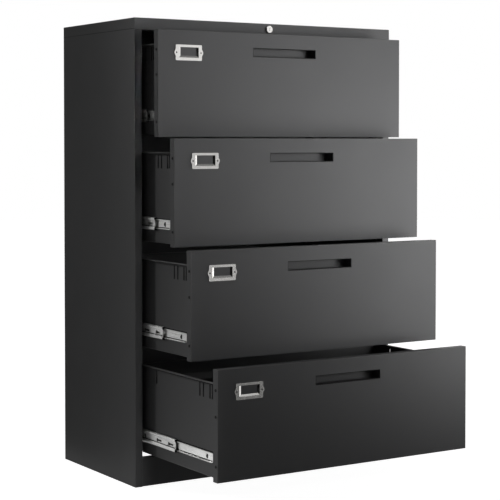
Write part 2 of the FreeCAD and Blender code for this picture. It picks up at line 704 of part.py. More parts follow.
MIDDLE_FACE = "(slide_sheet + 2 * slide_clear + cage_sheet)"
CHANNEL_BACK = f"({MIDDLE_FACE} + middle_recess + slide_sheet)"
INNER_EDGE = f"({CHANNEL_BACK} + 2 * slide_clear + cage_sheet)"
CAGE_LENGTH = f"({SLIDE_LENGTH} - {SLIDE_TRAVEL} / 2 - 2 * cage_end)"
CAGE_START = f"({SLIDE_START} + {SLIDE_LENGTH} / 2 - {CAGE_LENGTH} / 2)"


def slide_outline(sketch, corners):
    """A slide's section, given for its upper half from the centre line, mirrored below it.

    A third formula cuts a corner.
    """
    upper = [(across(corner[0]), above(corner[1])) + corner[2:] for corner in corners]
    lower = [(across(corner[0]), above(f"-1 * ({corner[1]})")) + corner[2:] for corner in corners]
    outline(sketch, cut_corners(upper + lower[::-1]))


def slide_outer(name):
    """Fixed member: a channel open to the drawer, with lips that hold the balls."""
    inside = f"({OUTER_HALF} - slide_sheet)"
    lip = f"({inside} - outer_lip)"
    body = new_body(name)
    extrude(body, PAD, "Y", SLIDE_START, SLIDE_END, lambda sketch: slide_outline(sketch, [
        ("slide_sheet", inside, "bend"),
        ("outer_flange - slide_sheet", inside, "bend"),
        ("outer_flange - slide_sheet", lip),
        ("outer_flange", lip),
        ("outer_flange", OUTER_HALF, "(bend + slide_sheet)"),
        ("0", OUTER_HALF, "(bend + slide_sheet)"),
    ]))
    return body


def slide_middle(name):
    """Middle member: a channel open to the drawer, its web pressed in, with keyholes and an access hole."""
    flange_edge = f"{MIDDLE_FACE} + middle_flange"
    inside = f"({MIDDLE_HALF} - slide_sheet)"
    channel = "middle_channel / 2"
    body = new_body(name)
    extrude(body, PAD, "Y", SLIDE_START, SLIDE_END, lambda sketch: slide_outline(sketch, [
        (CHANNEL_BACK, f"{channel} + slide_sheet", "(bend + slide_sheet)"),
        (f"{MIDDLE_FACE} + slide_sheet", f"{channel} + slide_sheet", "bend"),
        (f"{MIDDLE_FACE} + slide_sheet", inside, "bend"),
        (flange_edge, inside),
        (flange_edge, MIDDLE_HALF),
        (MIDDLE_FACE, MIDDLE_HALF, "(bend + slide_sheet)"),
        (MIDDLE_FACE, channel),
        (f"{MIDDLE_FACE} + middle_recess", channel, "bend"),
    ]))
    low, high = across(f"{MIDDLE_FACE} - slide_clear"), across(f"{CHANNEL_BACK} + slide_clear")
    for centre in ("keyhole_first", "keyhole_first + keyhole_step"):
        station = f"{SLIDE_START} + {centre}"
        extrude(body, POCKET, "X", low, high,
                lambda sketch: circle(sketch, (station, "slide_rise"), "keyhole_round"))
        extrude(body, POCKET, "X", low, high,
                lambda sketch: rectangle(sketch, (f"{station} - keyhole_length", above("-keyhole_slot / 2")),
                                         (station, above("keyhole_slot / 2"))))
    near = f"{SLIDE_START} + access_first - access_hole / 2"
    far = f"{SLIDE_START} + access_first + access_hole / 2"
    access = cut_corners([
        (near, above("-access_hole / 2"), "access_corner"),
        (far, above("-access_hole / 2"), "access_corner"),
        (far, above("access_hole / 2"), "access_corner"),
        (near, above("access_hole / 2"), "access_corner"),
    ])
    extrude(body, POCKET, "X", low, high, lambda sketch: outline(sketch, access))
    return body


def slide_inner(name):
    """Inner member: a channel on the drawer side, open to the cabinet, with mounting slots."""
    web = "slide_thick - slide_sheet"
    inside = f"({INNER_HALF} - slide_sheet)"
    start = f"{SLIDE_START} + inner_setback"
    body = new_body(name)
    extrude(body, PAD, "Y", start, SLIDE_END, lambda sketch: slide_outline(sketch, [
        (web, inside, "bend"),
        (INNER_EDGE, inside),
        (INNER_EDGE, INNER_HALF),
        ("slide_thick", INNER_HALF, "(bend + slide_sheet)"),
    ]))
    for station in (f"{start} + inner_slot_first", f"{SLIDE_END} - inner_slot_first"):
        extrude(body, POCKET, "X", across(f"{web} - slide_sheet"), across("slide_thick + slide_clear"),
                lambda sketch: rectangle(
                    sketch, (f"{station} - inner_slot_width / 2", above("-inner_slot_height / 2")),
                    (f"{station} + inner_slot_width / 2", above("inner_slot_height / 2"))))
    return body


def ball_cage(name, web, end, height):
    """Cage whose two strips run in the ball races, with windows for the balls."""
    body = new_body(name)
    extrude(body, PAD, "Y", CAGE_START, f"{CAGE_START} + {CAGE_LENGTH}",
            lambda sketch: slide_outline(sketch, [
                (f"{web} + cage_sheet", f"{height} - cage_sheet / 2"),
                (end, f"{height} - cage_sheet / 2"),
                (end, f"{height} + cage_sheet / 2"),
                (web, f"{height} + cage_sheet / 2"),
            ]))

    def windows(sketch):
        for i in range(BALL_WINDOWS):
            station = f"{CAGE_START} + {CAGE_LENGTH} * {(i + 0.5) / BALL_WINDOWS}"
            rectangle(sketch, (across(f"{web} + 2 * cage_sheet"), f"{station} - ball_window / 2"),
                      (across(f"{end} - cage_sheet"), f"{station} + ball_window / 2"))

    extrude(body, POCKET, "Z", above(f"-1 * ({height} + cage_sheet)"), above(f"{height} + cage_sheet"),
            windows)
    return body


def outer_cage(name):
    return ball_cage(name, "slide_sheet + slide_clear", "outer_flange - slide_sheet - 2 * slide_clear",
                     f"({MIDDLE_HALF} + outer_race / 2)")


def inner_cage(name):
    return ball_cage(name, f"{CHANNEL_BACK} + slide_clear", "slide_thick - slide_sheet - 2 * slide_clear",
                     f"({INNER_HALF} + inner_race / 2)")


# Assembly

def build_carcass():
    left = keep(group([side_panel(), cap_strip()]), "side_panel_left")
    keep(twin(left), "side_panel_right")
    keep(back_panel())
    side_skirt = cap_side_skirt()
    skirts = [cap_front_skirt(), cap_back_skirt(), side_skirt, twin(side_skirt)]
    keep(group([cap_sheet()] + skirts), "top_panel")
    keep(kick_plate())
    uprights = [slide_upright("upright_front", f"{FRONT} + upright_front_setback"),
                slide_upright("upright_rear", f"{REAR} - upright_rear_setback - upright_width")]
    keep(group(uprights + [twin(upright) for upright in uprights]), "slide_uprights")
    members = []
    for drawer in DRAWERS:
        members.append(slide_outer(f"slide_outer_member_{drawer}"))
        place_with_drawer(members[-1], drawer, 0)
    outer_left = keep(group(members), "slide_outer_left")
    keep(twin(outer_left), "slide_outer_right")


def build_lock():
    for piece in (lock_housing(), lock_plug(), lock_cam()):
        place(piece, FRONT, f"cabinet_height - {LOCK_DROP}")
        keep(piece)


def build_drawer(drawer):
    side = drawer_side(drawer)
    pieces = [drawer_front(drawer), handle_cup(drawer), label_holder(drawer), side, drawer_back(drawer),
              drawer_bottom(drawer)]
    for piece in pieces:
        place_with_drawer(piece, drawer, 1)
        keep(piece)
    keep(twin(side), f"drawer_side_right_{drawer}")
    rails = [hanging_rail(drawer, RAIL_FRONT, "rail_front"), hanging_rail(drawer, RAIL_REAR, "rail_rear")]
    for rail in rails:
        place_with_drawer(rail, drawer, 1)
    keep(group(rails), f"hanging_rails_{drawer}")


def build_slides(drawer):
    """The moving members of a drawer's two slides, each pair a node."""
    kinds = (("slide_inner", slide_inner, 1), ("slide_middle", slide_middle, 0.5),
             ("ball_cage_outer", outer_cage, 0.25), ("ball_cage_inner", inner_cage, 0.75))
    for name, make, share in kinds:
        left = make(f"{name}_left_{drawer}")
        place_with_drawer(left, drawer, share)
        keep(group([left, twin(left)]), f"{name}_{drawer}")


build_carcass()
build_lock()
for drawer in DRAWERS:
    build_drawer(drawer)
    build_slides(drawer)
doc.recompute()

faults = [item.Label for item in doc.Objects if {"Invalid", "Error"} & set(item.State)]
faults += [node.Label for node in nodes if node.Shape.isNull() or not node.Shape.isValid()]
for item in doc.Objects:
    if item.TypeId == POCKET and item.BaseFeature.Shape.Volume - item.Shape.Volume < TOLERANCE:
        faults.append(f"{item.Label} cuts nothing")
if faults:
    raise RuntimeError(f"failed objects: {faults}")

os.makedirs("parts", exist_ok=True)
for node in nodes:
    node.Shape.exportStep(f"parts/{node.Label}.step")
print(len(nodes), "nodes,", sum(len(node.Shape.Solids) for node in nodes), "solids")
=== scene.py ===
"""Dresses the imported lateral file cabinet: finishes, small fittings and a studio.

Lengths are in metres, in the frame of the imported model: +X right, +Y back and +Z up.
"""

import json
import math

import bmesh
import bpy
from bpy.props import FloatProperty, FloatVectorProperty, PointerProperty
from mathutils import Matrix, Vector


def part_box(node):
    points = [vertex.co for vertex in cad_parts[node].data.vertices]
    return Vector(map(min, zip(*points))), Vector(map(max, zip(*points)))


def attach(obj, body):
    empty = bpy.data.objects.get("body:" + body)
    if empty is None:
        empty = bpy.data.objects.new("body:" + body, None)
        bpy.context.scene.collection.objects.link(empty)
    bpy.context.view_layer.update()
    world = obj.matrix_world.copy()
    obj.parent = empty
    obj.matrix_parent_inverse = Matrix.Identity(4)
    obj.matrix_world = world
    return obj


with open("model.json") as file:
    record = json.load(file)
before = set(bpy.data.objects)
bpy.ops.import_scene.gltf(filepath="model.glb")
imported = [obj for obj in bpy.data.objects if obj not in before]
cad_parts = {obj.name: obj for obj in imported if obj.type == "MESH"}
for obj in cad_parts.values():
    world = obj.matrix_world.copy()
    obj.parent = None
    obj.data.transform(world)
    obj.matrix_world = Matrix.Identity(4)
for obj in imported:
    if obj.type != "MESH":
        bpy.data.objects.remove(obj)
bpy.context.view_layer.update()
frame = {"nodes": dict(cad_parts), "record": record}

bl_info = {
    "name": "Lateral file cabinet finish",
    "version": (1, 0, 0),
    "blender": (4, 5, 0),
    "location": "View3D > Sidebar > Cabinet",
    "description": "Coats, plates and fits out a lateral file cabinet, and lights it",
    "category": "Object",
}

DRAWERS = (1, 2, 3, 4)
SLOT_OF = {entry["node"]: entry["material_slot"] for entry in frame["record"]["subparts"]}
OPENING = {entry["name"]: entry["box_m"] for entry in frame["record"]["physics"]["openings"]}
NEAR = 1e-6
# A face looks along an axis where its normal's part along that axis passes this
FACING = 0.99
# An edge between two faces counts as sharp from this angle, in radians
SHARP = 1.0
# Largest part of a face's normal where the mask of the folds, which places the coat's painted highlight,
# starts and where it is full
FOLD_START, FOLD_FULL = 0.97, 0.80
# Range in which most values of a noise texture lie
NOISE_LOW, NOISE_HIGH = 0.25, 0.75
# Slots of a drawer side: their middles from the drawer's face, their bottom and top from its lower edge
SLOT_MIDDLES = (0.042, 0.055, 0.089, 0.108, 0.346)
SLOT_WIDTH, SLOT_BOTTOM, SLOT_TOP = 0.0026, 0.2164, 0.2504
# Open seams under the cap's skirts: the sheet, the seam's height and its lower edge at side and front
CAP_SHEET, SEAM_HEIGHT, SIDE_SEAM, FRONT_SEAM = 0.001, 0.0015, 1.2985, 1.2945
# Shares of a ball cage's length at which its windows lie, and half the thickness of its sheet
CAGE_WINDOWS = (0.25, 0.75)
CAGE_HALF = 0.0003
# Middle of a front screw's head from the sheet, as a share of the head's height: a little of it is sunk
HEAD_OUT = 0.45
# Noise scales of the zinc along its rolling lines and of its stains, and of the balls' polish and stains
ROLLED_SCALE, STAIN_SCALE = 9.0, 45.0
BALL_SCALE, BALL_STAIN_SCALE = 700.0, 300.0


# Settings

def tint(name, description, default):
    return FloatVectorProperty(name=name, description=description, default=default, subtype="COLOR",
                               size=3, min=0.0, max=1.0)


def length(name, description, default):
    return FloatProperty(name=name, description=description, default=default, min=0.0, unit="LENGTH",
                         precision=5)


def share(name, description, default):
    return FloatProperty(name=name, description=description, default=default, min=0.0, max=1.0,
                         subtype="FACTOR")


def power(name, description, default):
    return FloatProperty(name=name, description=description, default=default, min=0.0, unit="POWER")


def angle(name, description, degrees):
    return FloatProperty(name=name, description=description, default=math.radians(degrees), min=0.0,
                         max=math.pi, subtype="ANGLE")


class CoatSettings(bpy.types.PropertyGroup):
    """Black powder coat of the folded steel."""
    colour: tint("Coat", "Colour of the coat", (0.060, 0.060, 0.061))
    thin_colour: tint("Thin coat", "Colour where the coat is thinner", (0.057, 0.057, 0.058))
    # The fold colour is a painted highlight: lighter folds and bevels stand in for the light that they
    # catch.
    fold_highlight_colour: tint("Fold", "Colour on folds and bevels, where the coat draws thin", (0.11, 0.11, 0.11))
    roughness: share("Roughness", "Mean roughness of the coat", 0.5)
    roughness_spread: share("Roughness spread", "How far the roughness varies", 0.02)
    sheen: share("Specular level", "Strength of the coat's gloss", 0.10)
    peel_pitch: length("Orange peel", "Spacing of the coat's fine ripples", 0.0014)
    peel_depth: length("Ripple depth", "Depth of the ripples", 0.00004)
    cloud_pitch: length("Clouds", "Spacing of the slow changes in thickness", 0.11)


class PlateSettings(bpy.types.PropertyGroup):
    """Zinc plate of the slides, and the phosphated steel of the ball cages."""
    zinc: tint("Zinc", "Colour of the zinc plate", (0.82, 0.82, 0.81))
    zinc_stain: tint("Dull zinc", "Colour where the zinc has dulled", (0.55, 0.55, 0.54))
    cage: tint("Cage steel", "Colour of the phosphated ball cages", (0.012, 0.012, 0.012))
    cage_stain: tint("Oiled cage", "Colour of the cages under oil", (0.006, 0.006, 0.006))
    ball: tint("Ball steel", "Colour of the balls", (0.62, 0.62, 0.63))
    roughness: share("Roughness", "Mean roughness of the plate", 0.34)
    roughness_spread: share("Roughness spread", "How far the rolling lines vary it", 0.12)
    line_pitch: length("Rolling lines", "Spacing of the rolling lines", 0.0009)
    line_depth: length("Line depth", "Depth of the rolling lines", 0.00001)


class TrimSettings(bpy.types.PropertyGroup):
    """Bright nickel of the card frames and the lock."""
    nickel: tint("Nickel", "Colour of the nickel plate", (0.72, 0.71, 0.69))
    nickel_stain: tint("Handled nickel", "Colour where hands have dulled it", (0.68, 0.67, 0.65))
    roughness: share("Roughness", "Mean roughness of the nickel", 0.15)
    roughness_spread: share("Roughness spread", "How far smudges vary it", 0.03)
    smudge_pitch: length("Smudges", "Spacing of the smudges", 0.012)
    smudge_depth: length("Polish", "Depth of the waves that polishing leaves", 0.000002)


class FastenerSettings(bpy.types.PropertyGroup):
    """Screws of the drawer fronts, the card frames and the slides."""
    oxide: tint("Black oxide", "Colour of the screws", (0.005, 0.005, 0.005))
    oxide_worn: tint("Worn oxide", "Colour of the screws where a driver has rubbed", (0.01, 0.01, 0.01))
    head_radius: length("Head radius", "Radius of a front screw's head", 0.0040)
    head_height: length("Head height", "Height of a front screw's head", 0.0014)
    setback: length("Setback", "Front face to the front screws", 0.010)
    top_drop: length("Top screw", "Front's top edge to its upper screw", 0.055)
    middle_drop: length("Middle screw", "Front's top edge to its middle screw", 0.125)
    bottom_rise: length("Bottom screw", "Front's bottom edge to its lower screw", 0.042)
    card_radius: length("Card screw radius", "Radius of a card frame's screw", 0.00226)
    card_pitch: length("Card screw pitch", "Distance between a card frame's screws", 0.079)
    card_recess: length("Card screw recess", "Card frame's face to the screw's head", 0.0004)
    slide_radius: length("Slide screw radius", "Radius of an inner member's screw", 0.0042)
    slide_height: length("Slide screw height", "Height of an inner member's screw", 0.0026)
    slide_setback: length("Slide screw setback", "Inner member's end to its screw", 0.029)


class FittingSettings(bpy.types.PropertyGroup):
    """Nylon stops and the balls of the slides, and dark nylon strips, rims and beads that stand in for
    the shade at the finger pulls' edges, the rail slots, the cap's seams, the slides' races and the
    drawer sides' lips.
    """
    # The nylon colour is the real colour of the stops, and also the painted shade of the dark strips,
    # rims and beads.
    nylon: tint("Nylon", "Colour of the nylon", (0.005, 0.005, 0.005))
    nylon_worn: tint("Rubbed nylon", "Colour where the nylon is rubbed", (0.01, 0.01, 0.01))
    stop_length: length("Stop length", "Stop inside the middle member", 0.009)
    stop_head: length("Stop head", "Stop in front of the middle member", 0.0014)
    stop_clear: length("Stop gap", "Stop to the inner member", 0.0003)
    member_sheet: length("Member sheet", "Thickness of the slide members", 0.0012)
    inner_depth: length("Inner member depth", "Inner member's edges to the drawer", 0.0055)
    middle_recess: length("Middle recess", "Depth of the channel in a middle member", 0.0024)
    # Pull strips: dark nylon at the finger pulls' edges, painted shade for the recesses' edges.
    pull_shade_width: length("Pull edge", "Width of the edge strip in a finger pull", 0.0016)
    pull_shade_depth: length("Pull edge depth", "Depth of the edge strip in a finger pull", 0.0040)
    pull_shade_fit: length("Pull edge fit", "Finger pull's clear opening to the strip's outside", 0.0004)
    # Slot rims: dark nylon round the rail slots, painted shade for the slots.
    shade_guard_rim: length("Slot guard", "Width of the rim round a slot of a drawer side", 0.0015)
    shade_guard_rise: length("Slot guard rise", "Slot guard's stand-off from the drawer side", 0.0006)
    # Cap beads: dark nylon in the cap's open seams, painted shade for the seams.
    shade_seal_sink: length("Seal sink", "Depth of the cap's seals below the sheet's face", 0.0004)
    # Race and lip strips: dark nylon along the slides' races, above the inner members and on the drawer
    # sides' lips, painted shade there.
    shade_liner_height: length("Liner height", "Height of a liner in a slide's lower race", 0.0024)
    shade_liner_rise: length("Liner", "Liner's stand-off from the member", 0.0015)
    middle_shade_liner: length("Middle liner", "Slide's centre line to the middle member's liner", 0.0066)
    inner_shade_liner: length("Inner liner", "Slide's centre line to the inner member's liner", 0.0096)
    lip_shade_liner: length("Lip liner", "Drawer side's top to the liner on its lip", 0.0037)
    outer_inset: length("Outer ball inset", "Outer cage's side to its balls' middles", 0.00375)
    inner_inset: length("Inner ball inset", "Inner cage's side to its balls' middles", 0.0026)
    outer_ball: length("Outer ball", "Radius of a ball between outer and middle members", 0.0020)
    inner_ball: length("Inner ball", "Radius of a ball between middle and inner members", 0.00135)


class StudioSettings(bpy.types.PropertyGroup):
    """Floor, lights and camera."""
    floor: tint("Floor", "Colour of the floor", (0.45, 0.45, 0.45))
    floor_lift: share("Floor lift", "White added to the near floor, as camera and gloss see it", 0.97)
    floor_clear: length("Clear floor", "Distance at which the floor is all white", 3.0)
    room_fill: share("Room fill", "Light from the room on the object", 0.07)
    key: power("Key", "Softbox close by at the right", 10.5)
    key_spread: angle("Key spread", "Angle that the key's grid lets through", 66)
    front: power("Front", "Softbox at the front right", 10.0)
    front_spread: angle("Front spread", "Angle that the front softbox's grid lets through", 68)
    side: power("Side", "Strip light behind at the left", 6.5)
    side_spread: angle("Side spread", "Angle that the strip light's grid lets through", 20)
    edge: power("Edge", "Thin strip light before the left front corner", 0.13)
    edge_spread: angle("Edge spread", "Angle that the thin strip's grid lets through", 3)
    rear: power("Rear", "Softbox behind, at the right", 20.0)
    top: power("Top", "Softbox above", 12.0)
    camera_place: FloatVectorProperty(name="Camera", description="Place of the camera",
                                      default=(-2.4476, -3.9711, 0.9843),
                                      subtype="TRANSLATION", precision=4)
    camera_turn: FloatVectorProperty(name="Camera turn", description="Turn of the camera",
                                     default=(math.radians(88.297), 0.0, math.radians(-32.486)),
                                     subtype="EULER")
    camera_shift: FloatProperty(name="Shift", default=-0.13,
                                description="Upward shift of the lens, as a share of the picture")
    lens: FloatProperty(name="Lens", description="Focal length of the camera", default=108.117,
                        unit="CAMERA")


# Materials

def add_node(tree, kind, **settings):
    node = tree.nodes.new(kind)
    for name, setting in settings.items():
        setattr(node, name, setting)
    return node


def new_group(name, inputs, outputs):
    """An empty shader group with float inputs and outputs, and its two end nodes."""
    group = bpy.data.node_groups.new(name, "ShaderNodeTree")
    for socket in inputs:
        group.interface.new_socket(socket, in_out="INPUT", socket_type="NodeSocketFloat")
    for socket in outputs:
        group.interface.new_socket(socket, in_out="OUTPUT", socket_type="NodeSocketFloat")
    return group, group.nodes.new("NodeGroupInput"), group.nodes.new("NodeGroupOutput")


def coat_ripple_group():
    """Fine ripples of a sprayed coat and slow clouds in its thickness."""
    name = "coat_ripple"
    if name in bpy.data.node_groups:
        return bpy.data.node_groups[name]
    group, entry, leave = new_group(name, ("Ripple Scale", "Cloud Scale"), ("Height", "Cloud"))
    where = group.nodes.new("ShaderNodeTexCoord")
    ripple = group.nodes.new("ShaderNodeTexNoise")
    ripple.inputs["Detail"].default_value = 2.0
    cloud = group.nodes.new("ShaderNodeTexNoise")
    cloud.inputs["Detail"].default_value = 4.0
    for noise, scale, result in ((ripple, "Ripple Scale", "Height"), (cloud, "Cloud Scale", "Cloud")):
        group.links.new(where.outputs["Object"], noise.inputs["Vector"])
        group.links.new(entry.outputs[scale], noise.inputs["Scale"])
        group.links.new(noise.outputs["Fac"], leave.inputs[result])
    return group


def rolled_line_group():
    """Lines along Y, as rolling and drawing leave them in a strip, and stains over them."""
    name = "rolled_line"
    if name in bpy.data.node_groups:
        return bpy.data.node_groups[name]
    group, entry, leave = new_group(name, ("Across Scale", "Along Scale", "Stain Scale"),
                                    ("Line", "Stain"))
    where = group.nodes.new("ShaderNodeTexCoord")
    stretch = group.nodes.new("ShaderNodeCombineXYZ")
    for axis, scale in (("X", "Across Scale"), ("Y", "Along Scale"), ("Z", "Across Scale")):
        group.links.new(entry.outputs[scale], stretch.inputs[axis])
    spread = add_node(group, "ShaderNodeVectorMath", operation="MULTIPLY")
    group.links.new(where.outputs["Object"], spread.inputs[0])
    group.links.new(stretch.outputs["Vector"], spread.inputs[1])
    line = group.nodes.new("ShaderNodeTexNoise")
    line.inputs["Scale"].default_value = 1.0
    group.links.new(spread.outputs["Vector"], line.inputs["Vector"])
    group.links.new(line.outputs["Fac"], leave.inputs["Line"])
    stain = group.nodes.new("ShaderNodeTexNoise")
    stain.inputs["Detail"].default_value = 5.0
    group.links.new(where.outputs["Object"], stain.inputs["Vector"])
    group.links.new(entry.outputs["Stain Scale"], stain.inputs["Scale"])
    group.links.new(stain.outputs["Fac"], leave.inputs["Stain"])
    return group


def fold_mask_group():
    """A mask of the faces that lie aslant, which on folded sheet are its folds and bevels, where the
    coat's highlight is painted.
    """
    name = "fold_mask"
    if name in bpy.data.node_groups:
        return bpy.data.node_groups[name]
    group, _, leave = new_group(name, (), ("Mask",))
    where = group.nodes.new("ShaderNodeTexCoord")
    size = add_node(group, "ShaderNodeVectorMath", operation="ABSOLUTE")
    group.links.new(where.outputs["Normal"], size.inputs[0])
    parts = group.nodes.new("ShaderNodeSeparateXYZ")
    group.links.new(size.outputs["Vector"], parts.inputs["Vector"])
    largest = parts.outputs["X"]
    for axis in ("Y", "Z"):
        larger = add_node(group, "ShaderNodeMath", operation="MAXIMUM")
        group.links.new(largest, larger.inputs[0])
        group.links.new(parts.outputs[axis], larger.inputs[1])
        largest = larger.outputs[0]
    slant = group.nodes.new("ShaderNodeMapRange")
    slant.inputs["From Min"].default_value = FOLD_START
    slant.inputs["From Max"].default_value = FOLD_FULL
    group.links.new(largest, slant.inputs["Value"])
    group.links.new(slant.outputs["Result"], leave.inputs["Mask"])
    return group


def new_material(name):
    material = bpy.data.materials.new(name)
    material.use_nodes = True
    return material, material.node_tree, material.node_tree.nodes["Principled BSDF"]


def place_group(tree, group, scales):
    node = add_node(tree, "ShaderNodeGroup", node_tree=group)
    for socket, scale in scales.items():
        node.inputs[socket].default_value = scale
    return node


MIX_A, MIX_B, MIX_RESULT = 6, 7, 2


def mix_colours(tree, mask, colour, other, shader):
    """Base colour between two colours by a mask."""
    mix = add_node(tree, "ShaderNodeMix", data_type="RGBA")
    mix.inputs[MIX_A].default_value = (*colour, 1.0)
    mix.inputs[MIX_B].default_value = (*other, 1.0)
    tree.links.new(mask, mix.inputs["Factor"])
    tree.links.new(mix.outputs[MIX_RESULT], shader.inputs["Base Color"])


def highlight_folds(tree, colour, shader):
    """Turns the base colour towards a lighter one on folds and bevels: a painted highlight for the light
    that they catch.
    """
    source = shader.inputs["Base Color"].links[0].from_socket
    fold = place_group(tree, fold_mask_group(), {})
    mix = add_node(tree, "ShaderNodeMix", data_type="RGBA")
    tree.links.new(source, mix.inputs[MIX_A])
    mix.inputs[MIX_B].default_value = (*colour, 1.0)
    tree.links.new(fold.outputs["Mask"], mix.inputs["Factor"])
    tree.links.new(mix.outputs[MIX_RESULT], shader.inputs["Base Color"])


def vary_roughness(tree, mask, middle, spread, shader):
    """Roughness that a noise varies about its middle, by up to its spread."""
    reach = tree.nodes.new("ShaderNodeMapRange")
    reach.inputs["From Min"].default_value = NOISE_LOW
    reach.inputs["From Max"].default_value = NOISE_HIGH
    reach.inputs["To Min"].default_value = middle - spread
    reach.inputs["To Max"].default_value = middle + spread
    tree.links.new(mask, reach.inputs["Value"])
    tree.links.new(reach.outputs["Result"], shader.inputs["Roughness"])


def raise_bump(tree, height, depth, shader):
    bump = tree.nodes.new("ShaderNodeBump")
    bump.inputs["Distance"].default_value = depth
    tree.links.new(height, bump.inputs["Height"])
    tree.links.new(bump.outputs["Normal"], shader.inputs["Normal"])


def coat_material(name, colours, roughness, spread, pitches, depth, level):
    """A sprayed, oxidised or moulded finish with ripples and clouds."""
    material, tree, shader = new_material(name)
    scales = {"Ripple Scale": 1.0 / pitches[0], "Cloud Scale": 1.0 / pitches[1]}
    grain = place_group(tree, coat_ripple_group(), scales)
    mix_colours(tree, grain.outputs["Cloud"], *colours, shader)
    vary_roughness(tree, grain.outputs["Cloud"], roughness, spread, shader)
    raise_bump(tree, grain.outputs["Height"], depth, shader)
    shader.inputs["Specular IOR Level"].default_value = level
    return material


def metal_material(name, colours, roughness, spread, scales, depth):
    """A bare or plated metal with rolling lines and stains."""
    material, tree, shader = new_material(name)
    grain = place_group(tree, rolled_line_group(), scales)
    mix_colours(tree, grain.outputs["Stain"], *colours, shader)
    vary_roughness(tree, grain.outputs["Line"], roughness, spread, shader)
    raise_bump(tree, grain.outputs["Line"], depth, shader)
    shader.inputs["Metallic"].default_value = 1.0
    return material


def finish_nodes(slot, material):
    """Gives every CAD node of a record's slot its material."""
    nodes = [node for node, name in SLOT_OF.items() if name == slot]
    if not nodes:
        raise RuntimeError(f"no node takes its finish from {slot}")
    for node in nodes:
        mesh = frame["nodes"][node].data
        mesh.materials.clear()
        mesh.materials.append(material)


# Modelling

def clear_selection():
    bpy.ops.object.select_all(action="DESELECT")


def start_edit(piece):
    bpy.context.view_layer.objects.active = piece
    bpy.ops.object.mode_set(mode="EDIT")


def end_edit():
    bpy.ops.object.mode_set(mode="OBJECT")


def choose(piece, kind, test):
    """Selects the faces, edges or points of a piece in edit mode that pass a test."""
    bpy.ops.mesh.select_mode(type=kind)
    bpy.ops.mesh.select_all(action="DESELECT")
    mesh = bmesh.from_edit_mesh(piece.data)
    members = {"FACE": mesh.faces, "EDGE": mesh.edges, "VERT": mesh.verts}[kind]
    chosen = [member for member in members if test(member)]
    if not chosen:
        raise RuntimeError(f"nothing to select on {piece.name}")
    for member in chosen:
        member.select_set(True)
    mesh.select_flush_mode()
    bmesh.update_edit_mesh(piece.data)


def extrude(offset):
    bpy.ops.mesh.extrude_region_move(TRANSFORM_OT_translate={"value": offset})


def new_block(low, high):
    """A box between two corners, with its place in its mesh."""
    clear_selection()
    middle = [(a + b) / 2 for a, b in zip(low, high)]
    bpy.ops.mesh.primitive_cube_add(size=1.0, location=middle, scale=[b - a for a, b in zip(low, high)])
    bpy.ops.object.transform_apply(location=True, rotation=True, scale=True)
    return bpy.context.object


def smooth(piece, degrees):
    clear_selection()
    piece.select_set(True)
    bpy.context.view_layer.objects.active = piece
    bpy.ops.object.shade_smooth_by_angle(angle=math.radians(degrees))


def mirror_piece(piece, axes):
    """Adds a piece's mirror images across the planes of the frame's axes."""
    clear_selection()
    piece.select_set(True)
    mirror = piece.modifiers.new("mirror", "MIRROR")
    mirror.use_axis = axes
    mirror.merge_threshold = NEAR
    bpy.ops.object.modifier_apply(modifier=mirror.name)


def spread_copies(pattern, places, name):
    """Copies a pattern to places, each a spot and a turn, as one piece; the pattern stays."""
    clear_selection()
    copies = []
    for spot, turn in places:
        copy = pattern.copy()
        copy.data = pattern.data.copy()
        copy.location = spot
        copy.rotation_euler = turn
        bpy.context.scene.collection.objects.link(copy)
        copy.select_set(True)
        copies.append(copy)
    bpy.context.view_layer.objects.active = copies[0]
    bpy.ops.object.transform_apply(location=True, rotation=True, scale=True)
    if len(copies) > 1:
        bpy.ops.object.join()
    piece = bpy.context.view_layer.objects.active
    piece.name = name
    piece.data.name = name
    return piece


def settle(piece, material, body):
    """Gives a new piece its material and its body."""
    piece.data.materials.clear()
    piece.data.materials.append(material)
    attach(piece, body)


def model_screw(radius, height):
    """A pan-head screw's head on +Z, with a cross recess, its middle at the origin."""
    top = height / 2
    crown = min(height * 0.45, radius * 0.22)
    rim = radius * 0.16
    arm = radius * 0.13
    clear_selection()
    bpy.ops.mesh.primitive_cylinder_add(vertices=24, radius=radius, depth=height, location=(0, 0, 0))
    screw = bpy.context.object
    start_edit(screw)
    choose(screw, "EDGE", lambda edge: all(point.co.z > top - NEAR for point in edge.verts))
    bpy.ops.mesh.bevel(offset=crown, segments=3, profile=0.5)
    choose(screw, "FACE", lambda face: face.normal.z > FACING)
    bpy.ops.mesh.inset(thickness=rim)
    inner = radius - crown - rim + NEAR
    for axis in ((1, 0, 0), (0, 1, 0)):
        for side in (-arm, arm):
            choose(screw, "FACE", lambda face: face.normal.z > FACING
                   and all(point.co.xy.length < inner for point in face.verts))
            bpy.ops.mesh.bisect(plane_co=[side * step for step in axis], plane_no=axis)
    choose(screw, "FACE", lambda face: face.normal.z > FACING
           and all(point.co.xy.length < inner for point in face.verts)
           and min(abs(face.calc_center_median().x), abs(face.calc_center_median().y)) < arm)
    extrude((0, 0, -crown))
    end_edit()
    smooth(screw, 40)
    return screw


def model_ball(radius):
    """A ball spun from half a circle about Y."""
    clear_selection()
    bpy.ops.mesh.primitive_circle_add(vertices=16, radius=radius, location=(0, 0, 0))
    ball = bpy.context.object
    start_edit(ball)
    choose(ball, "VERT", lambda point: point.co.x < -NEAR)
    bpy.ops.mesh.delete(type="VERT")
    bpy.ops.mesh.select_all(action="SELECT")
    bpy.ops.mesh.spin(steps=14, angle=math.tau, center=(0, 0, 0), axis=(0, 1, 0))
    bpy.ops.mesh.select_all(action="SELECT")
    bpy.ops.mesh.remove_doubles(threshold=radius * 0.01)
    bpy.ops.mesh.normals_make_consistent(inside=False)
    end_edit()
    smooth(ball, 80)
    return ball


